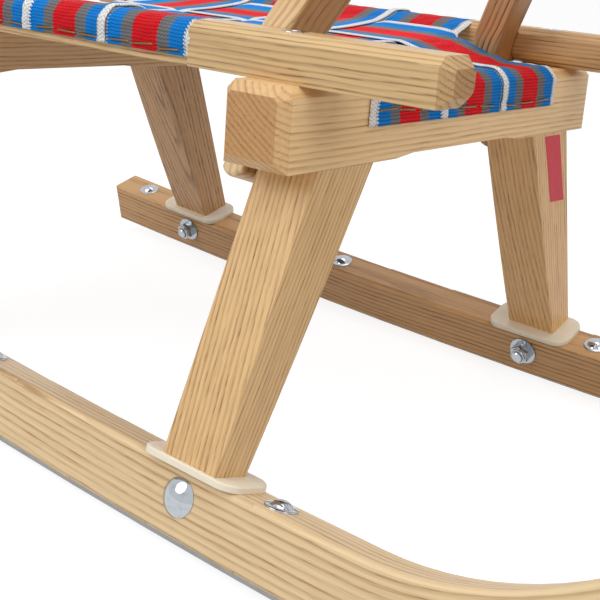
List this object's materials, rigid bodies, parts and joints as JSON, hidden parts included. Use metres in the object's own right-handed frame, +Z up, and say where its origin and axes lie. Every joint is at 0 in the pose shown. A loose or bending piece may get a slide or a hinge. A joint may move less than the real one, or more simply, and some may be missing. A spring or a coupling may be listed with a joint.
{
  "type": "snow sled",
  "caption": "Wooden snow sled: bent runners that curl up into horns, steel strips, splayed legs on plastic foot plates, side rails and a seat of woven webbing.",
  "frame": {"origin": "on the ground, under the centre of the box round the sled as it stands on its curved runners", "axes": "+X forward to the horns, +Y to the sled's left, +Z up"},
  "size_m": [0.7751, 0.3996, 0.4097],
  "materials": {
    "ash_wood": "clear varnished ash with a plain grain",
    "runner_steel": "rolled steel strip",
    "zinc_bolts": "bright zinc plate",
    "cream_plastic": "smooth moulded",
    "webbing": "ribbed webbing striped blue, grey, red and white"
  },
  "bodies": {
    "root": {"cross_beam_front": "ash_wood", "cross_beam_rear": "ash_wood", "cross_strap_1": "webbing", "cross_strap_2": "webbing", "cross_strap_3": "webbing", "cross_strap_4": "webbing", "cup_bolt_front_left": "zinc_bolts", "cup_bolt_front_right": "zinc_bolts", "cup_bolt_rear_left": "zinc_bolts", "cup_bolt_rear_right": "zinc_bolts", "foot_plate_front_left": "cream_plastic", "foot_plate_front_right": "cream_plastic", "foot_plate_rear_left": "cream_plastic", "foot_plate_rear_right": "cream_plastic", "horn_bolt_left": "zinc_bolts", "horn_bolt_right": "zinc_bolts", "leg_front_left": "ash_wood", "leg_front_right": "ash_wood", "leg_rear_left": "ash_wood", "leg_rear_right": "ash_wood", "long_strap_1": "webbing", "long_strap_2": "webbing", "long_strap_3": "webbing", "nut_front_left": "zinc_bolts", "nut_front_right": "zinc_bolts", "nut_rear_left": "zinc_bolts", "nut_rear_right": "zinc_bolts", "rail_bolt_front_left": "zinc_bolts", "rail_bolt_front_right": "zinc_bolts", "rail_bolt_rear_left": "zinc_bolts", "rail_bolt_rear_right": "zinc_bolts", "runner_left": "ash_wood", "runner_right": "ash_wood", "runner_strip_left": "runner_steel", "runner_strip_right": "runner_steel", "side_rail_left": "ash_wood", "side_rail_right": "ash_wood", "strip_bolts_left": "zinc_bolts", "strip_bolts_right": "zinc_bolts", "washer_front_left": "zinc_bolts", "washer_front_right": "zinc_bolts", "washer_rear_left": "zinc_bolts", "washer_rear_right": "zinc_bolts"}
  },
  "joints": []
}
